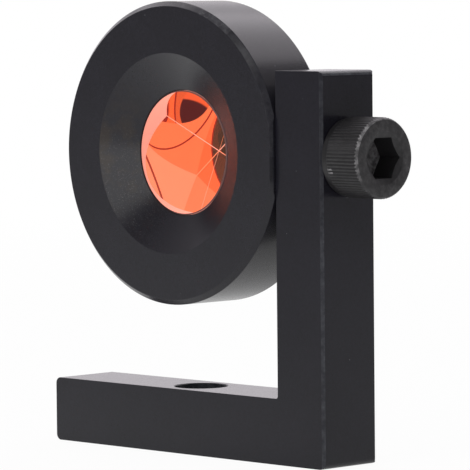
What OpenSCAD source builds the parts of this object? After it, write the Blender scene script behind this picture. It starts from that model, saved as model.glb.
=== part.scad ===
// Corner-cube surveying prism on an L-shaped bar.
// Millimetres, +Z up. The prism looks along -Y and the upright leg stands on the +X side.
// The origin is on the axis of the base's mounting hole, in the plane of the base's underside.

/* [L bar] */
// Overall length of the base, leg included
bar_length = 78.6; // [70:0.1:100]
// Overall height of the leg
bar_height = 78.2; // [72:0.1:100]
// Thickness of the base
base_thickness = 13.2; // [10:0.1:16]
// Thickness of the leg
leg_thickness = 12.7; // [10:0.1:16]
// Width of the bar from front to back
bar_width = 15.1; // [13:0.1:20]
// Radius of the outer corners of the L
corner_radius = 1.1; // [0.6:0.1:3]
// Radius of the inside corner of the L
inner_radius = 0.6; // [0.3:0.1:1.5]
// Bevel along the leg's two outer upright edges
edge_bevel = 0.55; // [0.2:0.05:1]
// Diameter of the mounting hole in the base
mount_hole_d = 11; // [8:0.1:12]
// Height of the clamp screw's axis above the base's underside
axis_height = 61.2; // [50:0.1:65]

/* [Prism housing] */
// Diameter of the housing
housing_d = 61.6; // [56:0.1:70]
// Depth of the housing's wide part from front to back
housing_depth = 15.7; // [14:0.1:20]
// How far the housing's front stands before the bar's front
front_overhang = 1.35; // [0.5:0.05:3]
// Depth of the flat milled on the side that meets the leg
flat_depth = 1.1; // [0.5:0.1:3]
// Bevel along the flat's front and back edges, measured into the flat
flat_bevel = 0.35; // [0.1:0.05:0.6]
// Width of that bevel, measured along the housing's depth
flat_bevel_width = 0.75; // [0.2:0.05:1.2]
// Bevel round the front rim
front_bevel = 1; // [0.4:0.1:2]
// Bevel round the back rim
back_bevel = 0.5; // [0.2:0.1:1.5]
// Diameter of the funnel at the front face
funnel_d = 40.7; // [36:0.1:46]
// Depth of the funnel
funnel_depth = 4.5; // [3:0.1:6]
// Clear diameter of the sight opening
sight_d = 25.7; // [20:0.1:26]
// Thickness of the lip at the sight opening
lip_thickness = 0.3; // [0.2:0.1:1]
// Wall between the glass pocket and the outside of the rear neck
neck_wall = 2.2; // [1.6:0.1:4]
// Metal left between the tapped hole and the glass pocket
thread_wall = 2.6; // [1.5:0.1:4]

/* [Glass] */
// Gap between the sight opening and the glass all round
glass_gap = 0.15; // [0.1:0.05:0.5]
// Length of the glass's full round barrel, before its three rear faces cut into it
glass_land = 1.6; // [1:0.1:4]
// Bevel round the front of the glass
glass_bevel = 0.25; // [0.1:0.05:0.5]
// Direction of the first edge of the corner, turned from the right towards the top
glass_clock = 25.7; // [0:0.1:119]
// Thickness of the copper layer with its lacquer
coating_thickness = 0.2; // [0.1:0.05:0.4]

/* [Rear parts] */
// Bore of the cushion ring
cushion_bore_d = 18; // [14:0.5:20]
// Part of the cushion ring's length that lies before the ends of the ground barrel
cushion_reach = 6; // [3:0.1:7]
// Part of the cushion ring's length that lies behind the ends of the ground barrel
cushion_tail = 2.2; // [1.5:0.1:3]
// Thickness of the threaded retaining ring
ring_thickness = 2.5; // [1.5:0.1:4]
// Width of the retaining ring's spanner slots
ring_slot_w = 2; // [1:0.1:3]
// Depth of the retaining ring's spanner slots
ring_slot_depth = 1; // [0.5:0.1:1.4]
// Wall of the rear cap round the neck
cap_wall = 2.15; // [1.8:0.05:4]
// Thickness of the rear cap's end
cap_end = 1.8; // [1.5:0.1:4]
// Bevel round the rear cap's end
cap_bevel = 2; // [0.5:0.1:2.5]
// Diameter of the rear cap's two spanner holes
cap_hole_d = 2.5; // [1.5:0.1:4]
// Distance between the rear cap's two spanner holes
cap_hole_spacing = 20; // [14:0.5:22]
// Diameter of the seal's section
seal_section_d = 1.2; // [0.8:0.1:1.6]

/* [Clamp screw] */
// Outer diameter of the thread
screw_d = 10; // [8:0.1:10.5]
// Diameter over the head's knurl
head_d = 16; // [13:0.1:18]
// Height of the head
head_height = 9.8; // [8:0.1:12]
// Number of ridges in the knurl
knurl_count = 78; // [48:1:96]
// Depth of the knurl
knurl_depth = 0.25; // [0.1:0.05:0.4]
// Length of the smooth band under the knurl
smooth_band = 1.5; // [0.5:0.1:3]
// Width of the bevel round the head's end, measured across the head
head_bevel = 0.5; // [0.2:0.1:1]
// Length of the bevel round the head's end, measured along the screw
head_bevel_length = 0.8; // [0.3:0.1:1.5]
// Distance across the flats of the socket
socket_af = 8; // [5:0.1:9]
// Depth of the socket
socket_depth = 5; // [4:0.1:6]

/* [Fits] */
// Clearance round the screw in the leg
screw_clearance = 0.25; // [0.1:0.05:0.5]
// Clearance round the screw in the housing's tapped hole
thread_clearance = 0.06; // [0.02:0.01:0.1]
// Clearance round the screwed ring and cap
ring_clearance = 0.05; // [0.02:0.01:0.1]
// Clearance round the glass in its pocket
glass_clearance = 0.4; // [0.3:0.05:0.6]
// Clearance drawn on both sides of the elastic bond
bond_clearance = 0.02; // [0.01:0.01:0.05]
// Space between the tip of the glass and the rear cap
tip_gap = 0.8; // [0.4:0.1:3]

/* [Hidden] */
$fn = 96;
over = 1;
thread_runout = 1;
thread_bevel = 1;
small_bevel = 0.3;
band_step = 0.1;

// Places along X, measured from the mounting hole's axis
flat_x = housing_d / 2 - flat_depth;
leg_inner_x = flat_x;
leg_outer_x = leg_inner_x + leg_thickness;
base_end_x = leg_outer_x - bar_length;

// Place of the housing's front face along Y, with the bar centred on Y = 0
front_y = -bar_width / 2 - front_overhang;

// The ground barrel, and the height of the glass from its front face to its tip
glass_d = sight_d - 2 * glass_gap;
glass_height = glass_land + glass_d / sqrt(2);

// Radii round the prism's axis
pocket_r = glass_d / 2 + glass_clearance;
neck_r = pocket_r + neck_wall;
cap_bore_r = neck_r + ring_clearance;
cap_r = cap_bore_r + cap_wall;
cap_inner_r = pocket_r;

// Depths along the prism's axis, measured back from the housing's front face
lip_back = funnel_depth + lip_thickness;
glass_front = funnel_depth;
bond_back = glass_front + glass_land;
glass_tip = glass_front + glass_height;
barrel_end = glass_tip - glass_d / 2 / sqrt(2);
coating_tip = glass_tip + coating_thickness * sqrt(3);
cushion_front = barrel_end - cushion_reach;
cushion_back = barrel_end + cushion_tail;
ring_back = cushion_back + ring_thickness;
neck_end = max(ring_back, housing_depth + seal_section_d) + over;
cap_end_inner = coating_tip + tip_gap;
cap_end_outer = cap_end_inner + cap_end;

// The retaining ring's bore clears the glass's edges where the ring starts
ring_bore_r = (coating_tip - cushion_back) * sqrt(2) + glass_clearance;

// The screw ends short of the tapped hole's bottom
tapped_depth = flat_x - pocket_r - thread_wall;
screw_length = leg_thickness + tapped_depth - thread_runout;

// Angle between a cube's edge and its long diagonal
diagonal_angle = acos(1 / sqrt(3));

BLACK = [0.09, 0.09, 0.10];
COPPER = [0.95, 0.47, 0.30];
GLASS = [0.80, 0.90, 0.95, 0.5];
RUBBER = [0.16, 0.16, 0.17];
BARE_METAL = [0.62, 0.63, 0.65];

// Puts a shape drawn round Z, from the prism's front face backwards, in its place
module along_prism() {
    translate([0, front_y, axis_height])
        rotate([-90, 0, 0])
            children();
}

// Puts a shape drawn round Z on the clamp screw's axis, starting at x and growing to the right
module along_screw(x) {
    translate([x, 0, axis_height])
        rotate([0, 90, 0])
            children();
}

// Straight arm of the bar
module bar_arm(x, length, height) {
    translate([x, -bar_width / 2, 0])
        cube([length, bar_width, height]);
}

// What is milled away to round one outer corner of the L, whose inside lies along inward_x and inward_z
module corner_waste(x, z, inward_x, inward_z) {
    centre_x = x + inward_x * corner_radius;
    centre_z = z + inward_z * corner_radius;
    side = corner_radius + over;
    difference() {
        translate([min(centre_x, x - inward_x * over), -bar_width / 2 - over,
                   min(centre_z, z - inward_z * over)])
            cube([side, bar_width + 2 * over, side]);
        translate([centre_x, -bar_width / 2 - 2 * over, centre_z])
            rotate([-90, 0, 0])
                cylinder(h = bar_width + 4 * over, r = corner_radius);
    }
}

// Metal that the mill leaves in the inside corner of the L
module inside_corner() {
    difference() {
        translate([leg_inner_x - inner_radius, -bar_width / 2, base_thickness - over])
            cube([inner_radius + over, bar_width, inner_radius + over]);
        translate([leg_inner_x - inner_radius, -bar_width / 2 - over, base_thickness + inner_radius])
            rotate([-90, 0, 0])
                cylinder(h = bar_width + 2 * over, r = inner_radius);
    }
}

// What is milled away along the leg's outer upright edge, at the front for side -1, at the back for 1
module upright_waste(side) {
    edge_y = side * bar_width / 2;
    translate([0, 0, -over])
        linear_extrude(bar_height + 2 * over)
            polygon([[leg_outer_x - edge_bevel - over, edge_y + side * over],
                     [leg_outer_x + over, edge_y - side * (edge_bevel + over)],
                     [leg_outer_x + over, edge_y + side * over]]);
}

module l_bar() {
    color(BLACK)
        difference() {
            union() {
                bar_arm(leg_inner_x, leg_thickness, bar_height);
                bar_arm(base_end_x, bar_length, base_thickness);
                inside_corner();
            }
            corner_waste(leg_outer_x, bar_height, -1, -1);
            corner_waste(leg_outer_x, 0, -1, 1);
            corner_waste(base_end_x, 0, 1, 1);
            corner_waste(base_end_x, base_thickness, 1, -1);
            upright_waste(-1);
            upright_waste(1);
            translate([0, 0, -over])
                cylinder(h = base_thickness + 2 * over, d = mount_hole_d);
            along_screw(leg_inner_x - over)
                cylinder(h = leg_thickness + 2 * over, d = screw_d + 2 * screw_clearance);
        }
}

// Half section of the housing: radius across, depth from the front face upwards
module housing_section() {
    polygon([[sight_d / 2, funnel_depth], [funnel_d / 2, 0],
             [housing_d / 2 - front_bevel, 0], [housing_d / 2, front_bevel],
             [housing_d / 2, housing_depth - back_bevel], [housing_d / 2 - back_bevel, housing_depth],
             [neck_r, housing_depth], [neck_r, neck_end - small_bevel],
             [neck_r - small_bevel, neck_end], [pocket_r, neck_end],
             [pocket_r, lip_back], [sight_d / 2, lip_back]]);
}

// What is milled away beside the flat, seen from above, with the flat's two bevelled edges
module flat_waste() {
    side = flat_depth + over;
    back_y = front_y + housing_depth;
    start_x = flat_x - flat_bevel - over * flat_bevel / flat_bevel_width;
    translate([0, 0, axis_height - housing_d / 2])
        linear_extrude(housing_d)
            polygon([[start_x, front_y - over], [flat_x + side, front_y - over],
                     [flat_x + side, back_y + over], [start_x, back_y + over],
                     [flat_x, back_y - flat_bevel_width], [flat_x, front_y + flat_bevel_width]]);
}

module prism_housing() {
    color(BLACK)
        difference() {
            along_prism()
                rotate_extrude()
                    housing_section();
            flat_waste();
            along_screw(flat_x - tapped_depth)
                cylinder(h = tapped_depth + over, d = screw_d + 2 * thread_clearance);
        }
}

// Corner of a cube with its tip at the given depth, opening towards the front
module cube_corner(tip) {
    side = 2 * glass_height;
    translate([0, 0, tip])
        rotate([0, 0, -30 - glass_clock])
            mirror([0, 0, 1])
                rotate([diagonal_angle, 0, 0])
                    rotate([0, 0, 45])
                        cube(side);
}

// Cube corner with the given tip, ground to the barrel and cut flat at the front
module ground_corner(tip) {
    intersection() {
        rotate_extrude()
            polygon([[0, glass_front], [glass_d / 2 - glass_bevel, glass_front],
                     [glass_d / 2, glass_front + glass_bevel], [glass_d / 2, tip + over],
                     [0, tip + over]]);
        cube_corner(tip);
    }
}

module prism_glass() {
    color(GLASS)
        along_prism()
            ground_corner(glass_tip);
}

module copper_coating() {
    color(COPPER)
        along_prism()
            difference() {
                ground_corner(coating_tip);
                cube_corner(glass_tip);
            }
}

// Ring drawn from its start depth backwards
module plain_ring(start, length, outer_r, inner_r) {
    translate([0, 0, start])
        difference() {
            cylinder(h = length, r = outer_r);
            translate([0, 0, -over])
                cylinder(h = length + 2 * over, r = inner_r);
        }
}

// Elastic bond round the barrel, which bears on the back of the housing's lip
module bond_ring() {
    color(RUBBER)
        along_prism()
            plain_ring(lip_back, bond_back - lip_back, pocket_r - bond_clearance,
                       glass_d / 2 + bond_clearance);
}

module cushion_ring() {
    color(RUBBER)
        along_prism()
            difference() {
                plain_ring(cushion_front, cushion_back - cushion_front, pocket_r - ring_clearance,
                           cushion_bore_d / 2);
                ground_corner(coating_tip);
            }
}

module retaining_ring() {
    color(BARE_METAL)
        along_prism()
            difference() {
                plain_ring(cushion_back, ring_thickness, pocket_r - ring_clearance, ring_bore_r);
                translate([-pocket_r, -ring_slot_w / 2, ring_back - ring_slot_depth])
                    cube([2 * pocket_r, ring_slot_w, ring_slot_depth + over]);
            }
}

// Half section of the rear cap, with the seal's groove at its rim
module cap_section() {
    groove_r = neck_r + seal_section_d + ring_clearance;
    groove_end = housing_depth + seal_section_d + ring_clearance;
    bore_end = neck_end + ring_clearance;
    polygon([[groove_r, housing_depth], [cap_r, housing_depth],
             [cap_r, cap_end_outer - cap_bevel], [cap_r - cap_bevel, cap_end_outer],
             [0, cap_end_outer], [0, cap_end_inner], [cap_inner_r, cap_end_inner],
             [cap_inner_r, bore_end], [cap_bore_r, bore_end], [cap_bore_r, groove_end],
             [groove_r, groove_end]]);
}

module rear_cap() {
    color(BLACK)
        along_prism()
            difference() {
                rotate_extrude()
                    cap_section();
                for (side = [-1, 1])
                    translate([side * cap_hole_spacing / 2, 0, cap_end_outer - cap_end / 2])
                        cylinder(h = cap_end / 2 + over, d = cap_hole_d);
            }
}

module cap_seal() {
    color(RUBBER)
        along_prism()
            translate([0, 0, housing_depth + seal_section_d / 2])
                rotate_extrude()
                    translate([neck_r + seal_section_d / 2, 0])
                        circle(d = seal_section_d);
}

// Star-shaped outline of the head's knurl
module knurl_outline() {
    step = 360 / knurl_count;
    ridge_r = head_d / 2;
    root_r = ridge_r - knurl_depth;
    polygon([for (i = [0 : knurl_count - 1], half = [0, 1])
        let (angle = (i + half / 2) * step, r = half == 0 ? ridge_r : root_r)
            [r * cos(angle), r * sin(angle)]]);
}

// Outline that the head is turned to: a smooth band at the bearing face and a bevel round the end
module head_section() {
    blank_r = head_d / 2 + over;
    band_r = head_d / 2 - knurl_depth - band_step;
    end_r = head_d / 2 - head_bevel;
    polygon([[0, 0], [band_r - small_bevel, 0], [band_r, small_bevel], [band_r, smooth_band],
             [blank_r, smooth_band + blank_r - band_r],
             [blank_r, head_height - (blank_r - end_r) * head_bevel_length / head_bevel],
             [end_r, head_height], [0, head_height]]);
}

// Hexagon socket with a countersunk mouth and a drilled bottom
module socket() {
    corner_r = socket_af / sqrt(3);
    mouth_bevel = corner_r - socket_af / 2;
    translate([0, 0, head_height - socket_depth])
        rotate([0, 0, 30])
            cylinder(h = socket_depth + over, r = corner_r, $fn = 6);
    translate([0, 0, head_height - mouth_bevel])
        cylinder(h = mouth_bevel + over, r1 = corner_r - mouth_bevel, r2 = corner_r + over);
    translate([0, 0, head_height - socket_depth - socket_af / 2 / sqrt(3)])
        cylinder(h = socket_af / 2 / sqrt(3), r1 = 0, r2 = socket_af / 2);
}

module screw_head() {
    difference() {
        intersection() {
            linear_extrude(head_height)
                knurl_outline();
            rotate_extrude()
                head_section();
        }
        socket();
    }
}

// Threaded shank, drawn plain at the thread's outer diameter, growing to the left of the head
module screw_shank() {
    translate([0, 0, -screw_length])
        rotate_extrude()
            polygon([[0, 0], [screw_d / 2 - thread_bevel, 0], [screw_d / 2, thread_bevel],
                     [screw_d / 2, screw_length + over], [0, screw_length + over]]);
}

module clamp_screw() {
    color(BLACK)
        along_screw(leg_outer_x)
            union() {
                screw_head();
                screw_shank();
            }
}

l_bar();
prism_housing();
prism_glass();
copper_coating();
bond_ring();
cushion_ring();
retaining_ring();
rear_cap();
cap_seal();
clamp_screw();
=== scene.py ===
"""Looks of a corner-cube surveying prism on an L-shaped bar, laid out as a Blender add-on."""

import math

import bmesh
import bpy
from bpy.props import FloatProperty, FloatVectorProperty, IntProperty, PointerProperty
from mathutils import Matrix, Vector


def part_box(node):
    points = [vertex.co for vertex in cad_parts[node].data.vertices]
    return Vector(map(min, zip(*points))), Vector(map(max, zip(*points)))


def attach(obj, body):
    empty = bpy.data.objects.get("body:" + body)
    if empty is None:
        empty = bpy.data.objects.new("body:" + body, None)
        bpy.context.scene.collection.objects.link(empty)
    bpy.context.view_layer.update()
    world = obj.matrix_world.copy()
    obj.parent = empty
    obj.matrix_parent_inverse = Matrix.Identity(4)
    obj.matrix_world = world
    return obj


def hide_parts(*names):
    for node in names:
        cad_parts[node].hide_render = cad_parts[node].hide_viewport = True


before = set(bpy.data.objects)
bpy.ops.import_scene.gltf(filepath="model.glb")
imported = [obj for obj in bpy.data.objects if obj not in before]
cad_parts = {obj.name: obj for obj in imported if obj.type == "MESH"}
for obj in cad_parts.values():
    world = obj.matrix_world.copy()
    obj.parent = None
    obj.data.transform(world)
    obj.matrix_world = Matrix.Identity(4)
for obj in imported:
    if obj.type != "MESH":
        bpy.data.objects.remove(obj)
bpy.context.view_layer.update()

bl_info = {
    "name": "L-bar surveying prism",
    "version": (1, 0, 0),
    "blender": (4, 5, 0),
    "location": "View3D > Sidebar > Prism",
    "description": "Builds the visible pieces of a surveying prism round its packed model",
    "category": "Object",
}

# Places taken from the frame, so that each piece stays where its node is

BAR_LOW, BAR_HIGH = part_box("l_bar")
HOUSING_LOW, HOUSING_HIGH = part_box("prism_housing")
CAP_LOW, CAP_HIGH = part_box("rear_cap")
GLASS_LOW, GLASS_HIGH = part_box("prism_glass")
SCREW_LOW, SCREW_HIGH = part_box("clamp_screw")

AXIS_Z = (HOUSING_LOW.z + HOUSING_HIGH.z) / 2
HOUSING_RADIUS = (HOUSING_HIGH.z - HOUSING_LOW.z) / 2
HEAD_RADIUS = (SCREW_HIGH.z - SCREW_LOW.z) / 2
FRONT_Y = HOUSING_LOW.y
FLAT_X = HOUSING_HIGH.x
LEG_INNER_X = FLAT_X
LEG_OUTER_X = BAR_HIGH.x

# Fineness of the meshes, and the knurl's rings along the screw

SHARP_ANGLE = math.radians(28)
MERGE_DISTANCE = 1e-7
CUT_MARGIN = 0.001
CORNER_STEPS = 12
BASE_HOLE_SEGMENTS = 192
SCREW_HOLE_SEGMENTS = 96
CAP_SEGMENTS = 256
SPANNER_HOLE_SEGMENTS = 48
RIDGE_SEGMENTS = 8
CREST_WIDTH = 1.15
KNURL_FOOT = (0.0, 0.0001, 0.00022, 0.00035)
KNURL_ALONG = (0.3, 0.5, 0.7, 0.85)
KNURL_END = (0.0008, 0.0006, 0.0004, 0.0002, 0.00008)
COUNTERSINK_ANGLE = math.radians(30)

# Floor, and the sweep's brightness from its dim side to its middle

FLOOR_REACH = 3.0
FLOOR_GAP = 0.00005
SWEEP_LEVELS = ((0.35, 0.09), (0.5, 0.26), (0.62, 0.34), (0.82, 0.38), (0.93, 1.0))

# Slants, shares of the radius and turns in degrees by which wear, a painted reflection, painted glints and
# painted highlights find their faces

SLANT_LEAST = 0.2
SLANT_MOST = 0.98
CORNER_SLANT_LEAST = 0.15
RIM_SHARE = 0.9
FUNNEL_SHARE = 0.7
FRONT_RUB_END = 200
KNOCK_FROM = 54
KNOCK_TO = 72
GLASS_REFLECTION_TURN = 185
GLINT_TURN = 205
HEAD_HIGHLIGHT_TURN = 145
KNURL_KNOCK_FROM = 192
KNURL_KNOCK_TO = 204
KNURL_KNOCK_HEIGHT = 0.0035

# Colours that several finishes share or that no user would change

BLACK = (0.0, 0.0, 0.0)
WHITE = (1.0, 1.0, 1.0)
# Painted light: warm tint of the glass's orange light falling on the funnel's left side
PAINTED_GLASS_REFLECTION = (0.04, 0.028, 0.018)
DUST = (0.14, 0.14, 0.15)
# Painted glints: bright grains that stand in for the sparkle of the blasted grain
PAINTED_GLINT = (0.16, 0.155, 0.16)
# Painted shade: the dark outline that the glass's edge shows from inside
PAINTED_SHADE_THROUGH_GLASS = (0.02, 0.005, 0.005)
RUBBER = (0.012, 0.012, 0.012)
RUBBER_BLOOM = (0.025, 0.025, 0.026)
TURNED_METAL = ((0.55, 0.56, 0.58), (0.66, 0.67, 0.69))


def length(name, description, default):
    """Property for a size in metres."""
    return FloatProperty(name=name, description=description, default=default, min=0.0,
                         precision=5, unit="LENGTH")


def share(name, description, default):
    """Property for a number from 0 to 1."""
    return FloatProperty(name=name, description=description, default=default, min=0.0, max=1.0,
                         subtype="FACTOR")


def number(name, description, default, least=0.0):
    """Property for a number without a unit."""
    return FloatProperty(name=name, description=description, default=default, min=least)


def whole(name, description, default, least):
    """Property for a whole number."""
    return IntProperty(name=name, description=description, default=default, min=least)


def colour(name, description, default):
    """Property for a linear colour."""
    return FloatVectorProperty(name=name, description=description, default=default, size=3,
                               min=0.0, max=1.0, subtype="COLOR")


def angle(name, description, degrees):
    """Property for an angle, stored in radians."""
    return FloatProperty(name=name, description=description, default=math.radians(degrees),
                         unit="ROTATION")


class BarSettings(bpy.types.PropertyGroup):
    base_thickness: length("Base thickness", "Thickness of the base", 0.0132)
    corner_radius: length("Corner radius", "Radius of the L's outer corners", 0.00125)
    inner_radius: length("Inner radius", "Radius of the L's inside corner", 0.0006)
    edge_bevel: length("Edge bevel", "Bevel along the leg's two outer upright edges", 0.00055)
    edge_softness: length("Edge softness", "Small radius on the edges", 0.00012)
    inner_top_radius: length("Inner top radius", "Radius of the leg's inner top corner", 0.00015)
    hole_radius: length("Hole radius", "Radius of the mounting hole", 0.0055)
    hole_bevel: length("Hole bevel", "Bevel round the mounting hole's rims", 0.0002)
    screw_hole_radius: length("Screw hole radius", "Radius of the clamp screw's hole", 0.00525)
    black: colour("Black", "Dyed anodised layer", (0.0126, 0.012, 0.0172))
    worn: colour("Worn edge", "Anodised layer rubbed thin along the edges", (0.16, 0.17, 0.19))
    roughness: share("Roughness", "Roughness of the anodised layer", 0.17)
    grain: share("Grain", "Strength of the blasted grain", 0.22)
    gloss: share("Gloss", "Strength of the anodised layer's gloss", 0.34)
    rub_top: length("Rub top", "Height up to which the leg's front edge is rubbed most", 0.048)
    low_edge_wear: share("Low edge wear", "Wear of the leg's front edge up to there", 0.42)
    high_edge_wear: share("High edge wear", "Wear of the leg's front edge above", 0.28)
    # The top corner's lightness is partly wear and partly a painted highlight
    top_corner_wear_and_highlight: share("Top corner wear", "Wear of the leg's outer top corner", 0.65)
    edge_wear: share("Edge wear", "Wear of the other edges", 0.1)
    hole_wear: share("Hole wear", "Wear of the mounting hole's wall", 0.45)


class HousingSettings(bpy.types.PropertyGroup):
    depth: length("Depth", "Depth of the wide part from front to back", 0.0157)
    front_bevel: length("Front bevel", "Bevel round the front rim", 0.001)
    back_bevel: length("Back bevel", "Bevel round the back rim", 0.0005)
    flat_bevel: length("Flat bevel", "Bevel along the flat's edges, measured into the flat", 0.00035)
    flat_bevel_width: length("Flat bevel width", "Width of that bevel along the depth", 0.00075)
    edge_softness: length("Edge softness", "Small radius on the turned edges", 0.00012)
    funnel_radius: length("Funnel radius", "Radius of the funnel at the front face", 0.02035)
    funnel_depth: length("Funnel depth", "Depth of the funnel", 0.0045)
    sight_radius: length("Sight radius", "Radius of the sight opening", 0.01285)
    lip: length("Lip", "Thickness of the lip at the sight opening", 0.0003)
    pocket_radius: length("Pocket radius", "Radius of the glass's pocket", 0.0131)
    neck_radius: length("Neck radius", "Radius of the neck at the back", 0.0153)
    neck_bevel: length("Neck bevel", "Bevel round the neck's end", 0.0003)
    tapped_radius: length("Tapped radius", "Radius of the clamp screw's tapped hole", 0.00506)
    tapped_depth: length("Tapped depth", "Depth of the tapped hole from the flat", 0.014)
    segments: whole("Segments", "Faces round the housing", 360, 48)
    black: colour("Black", "Dyed anodised layer", (0.0126, 0.012, 0.0172))
    worn: colour("Worn rim", "Anodised layer rubbed thin along the rims", (0.3, 0.3, 0.32))
    roughness: share("Roughness", "Roughness of the anodised layer", 0.21)
    grain: share("Grain", "Strength of the blasted grain", 0.35)
    gloss: share("Gloss", "Strength of the anodised layer's gloss", 0.5)
    rim_wear: share("Rim wear", "Wear of the rims", 0.12)
    knock_wear: share("Knock wear", "Wear where the front rim is knocked, at its upper right", 0.3)
    # Painted light: strength of the painted warm reflection of the glass and of the painted glints in the
    # funnel
    funnel_painted_light: share("Marks", "Strength of the handling marks and the grit in the funnel", 0.7)


class OpticsSettings(bpy.types.PropertyGroup):
    barrel_radius: length("Barrel radius", "Radius of the ground barrel", 0.01268)
    front_bevel: length("Front bevel", "Ground bevel round the front of the glass", 0.00025)
    first_edge: angle("First edge", "Direction of the first rear edge, from the right to the top", 25.7)
    edge_widths: FloatVectorProperty(name="Edge widths", size=3, precision=5, unit="LENGTH", min=0.0,
                                     description="Widths of the ground strips along the rear edges",
                                     default=(0.00015, 0.00015, 0.00005))
    segments: whole("Segments", "Faces round the barrel", 240, 48)
    copper: colour("Copper", "Copper layer on the rear faces", (0.955, 0.63, 0.41))
    ground: colour("Ground glass", "Ground barrel of the glass", (0.5, 0.3, 0.24))
    bevel_ground: colour("Ground bevel", "Ground bevel round the front of the glass", (0.3, 0.15, 0.14))
    bevel_glow: colour("Bevel glow", "Light that the ground front bevel passes on", (0.42, 0.045, 0.02))
    gloss_tint: share("Gloss tint", "How strongly the glass shows in the gloss of the funnel", 0.15)
    late_glow: colour("Late glow", "Light of a ray that leaves after its sixth bounce", (0.49, 0.065, 0.018))
    glow: colour("Glow", "Light that the ground barrel passes on inside the glass", (1.0, 0.385, 0.29))
    glow_strength: number("Glow strength", "Strength of that light", 1.05)
    deep_glow: colour("Deep glow", "Light left after many reflections, where they end at the barrel",
                      (1.0, 0.35, 0.28))
    deep_dark: colour("Deep dark", "Light left after many reflections, where they leave the glass",
                      (0.09, 0.004, 0.003))
    deep_way: FloatVectorProperty(name="Deep way", description="Direction of the fifth reflection",
                                  size=3, default=(-0.541, 0.443, 0.715))
    index: number("Refractive index", "Refractive index of the glass", 1.517, 1.0)


class CapSettings(bpy.types.PropertyGroup):
    wall_bevel: length("Bevel", "Bevel round the cap's end", 0.002)
    end_thickness: length("End", "Thickness of the cap's end", 0.0018)
    hole_radius: length("Hole radius", "Radius of the spanner holes", 0.00125)
    hole_bevel: length("Hole bevel", "Bevel round the spanner holes", 0.00015)
    hole_spacing: length("Hole spacing", "Distance between the spanner holes", 0.02)
    groove_radius: length("Groove radius", "Radius of the seal's groove", 0.01655)
    groove_depth: length("Groove depth", "Depth of the seal's groove", 0.00125)
    bore_radius: length("Bore radius", "Radius of the threaded bore", 0.01535)
    bore_gap: length("Bore gap", "Gap between the neck's end and the end of the bore", 0.00005)
    wear: share("Wear", "Wear of the cap's bevels", 0.15)


class ScrewSettings(bpy.types.PropertyGroup):
    head_height: length("Head height", "Height of the head", 0.0098)
    shank_radius: length("Shank radius", "Radius of the threaded shank", 0.005)
    knurl_count: whole("Knurl count", "Ridges round the head", 70, 12)
    knurl_depth: length("Knurl depth", "Depth of the knurl", 0.00015)
    smooth_band: length("Smooth band", "Plain length under the knurl", 0.0015)
    band_step: length("Band step", "How far the plain length lies under the knurl's grooves", 0.0001)
    foot_bevel: length("Foot bevel", "Bevel where the head meets the leg", 0.0003)
    shank_bevel: length("Shank bevel", "Bevel at the end of the shank", 0.001)
    head_bevel: length("Head bevel", "Width of the bevel round the head's end", 0.0004)
    bevel_length: length("Bevel length", "Length of that bevel along the screw", 0.00055)
    socket_width: length("Socket width", "Width of the hexagon socket across its flats", 0.008)
    socket_depth: length("Socket depth", "Depth of the hexagon socket", 0.0056)
    drill_radius: length("Drill radius", "Radius of the cone at the bottom of the socket", 0.0026)
    countersink_radius: length("Countersink radius", "Radius of the socket's countersink", 0.0052)
    black: colour("Black", "Oxide layer", (0.0135, 0.013, 0.0142))
    worn: colour("Worn edge", "Steel where the oxide is rubbed thin", (0.36, 0.35, 0.36))
    face_wear: share("Face wear", "Wear of the head's end, and the least on its bevel", 0.12)
    floor_wear: share("Floor wear", "Wear of the socket's floor", 0.6)
    light_wear: share("Light wear", "Wear of the countersink and the knurl's crests", 0.05)
    knock_wear: share("Knock wear", "Wear of one spot low on the knurl", 0.8)


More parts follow.
